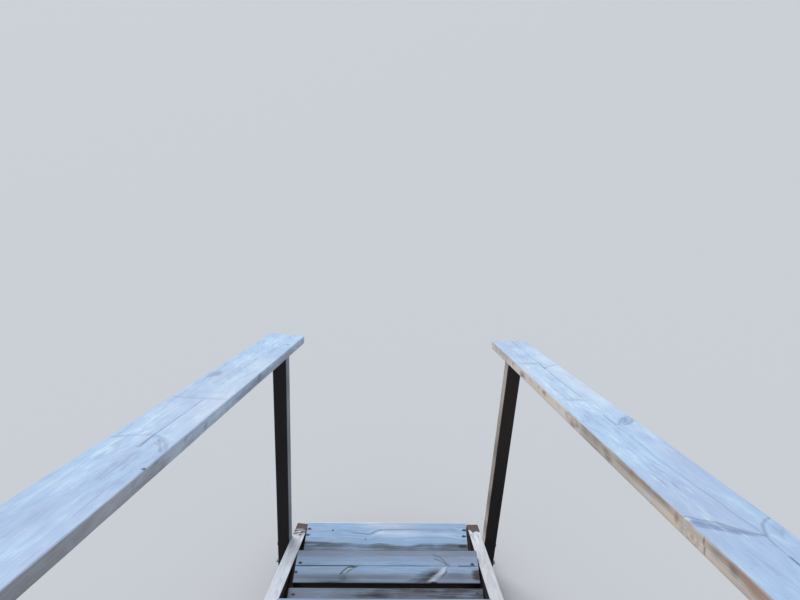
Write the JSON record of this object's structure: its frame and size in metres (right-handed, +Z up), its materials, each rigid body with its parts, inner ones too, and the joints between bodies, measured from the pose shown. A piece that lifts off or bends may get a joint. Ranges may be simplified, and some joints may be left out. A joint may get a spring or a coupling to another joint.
{
  "type": "wooden waterside stair",
  "caption": "Open-tread wooden stair between two stringers, with a sloping board handrail on posts along each side.",
  "frame": {"origin": "middle of the stair's outline on the floor", "axes": "+Y down the flight toward the lake, +X to the right as one walks down, +Z up"},
  "size_m": [1.1272, 1.8364, 1.8055],
  "materials": {
    "handrail": "silver-grey weathered planed boards",
    "tread": "blue-grey weathered planed boards",
    "stringer": "pale weathered rough-sawn boards",
    "post": "dark brown weathered timber",
    "cleat": "weathered rough-sawn timber"
  },
  "bodies": {
    "root": {"left_stringer": "stringer", "left_lower_post": "post", "left_upper_post": "post", "left_handrail": "handrail", "left_cleat_1": "cleat", "left_cleat_2": "cleat", "left_cleat_3": "cleat", "left_cleat_4": "cleat", "left_cleat_5": "cleat", "left_cleat_6": "cleat", "right_stringer": "stringer", "right_lower_post": "post", "right_upper_post": "post", "right_handrail": "handrail", "right_cleat_1": "cleat", "right_cleat_2": "cleat", "right_cleat_3": "cleat", "right_cleat_4": "cleat", "right_cleat_5": "cleat", "right_cleat_6": "cleat", "tread_1_front": "tread", "tread_2_front": "tread", "tread_3_front": "tread", "tread_4_front": "tread", "tread_5_front": "tread", "tread_6_front": "tread", "tread_1_back": "tread", "tread_2_back": "tread", "tread_3_back": "tread", "tread_4_back": "tread", "tread_5_back": "tread", "tread_6_back": "tread"}
  },
  "joints": []
}
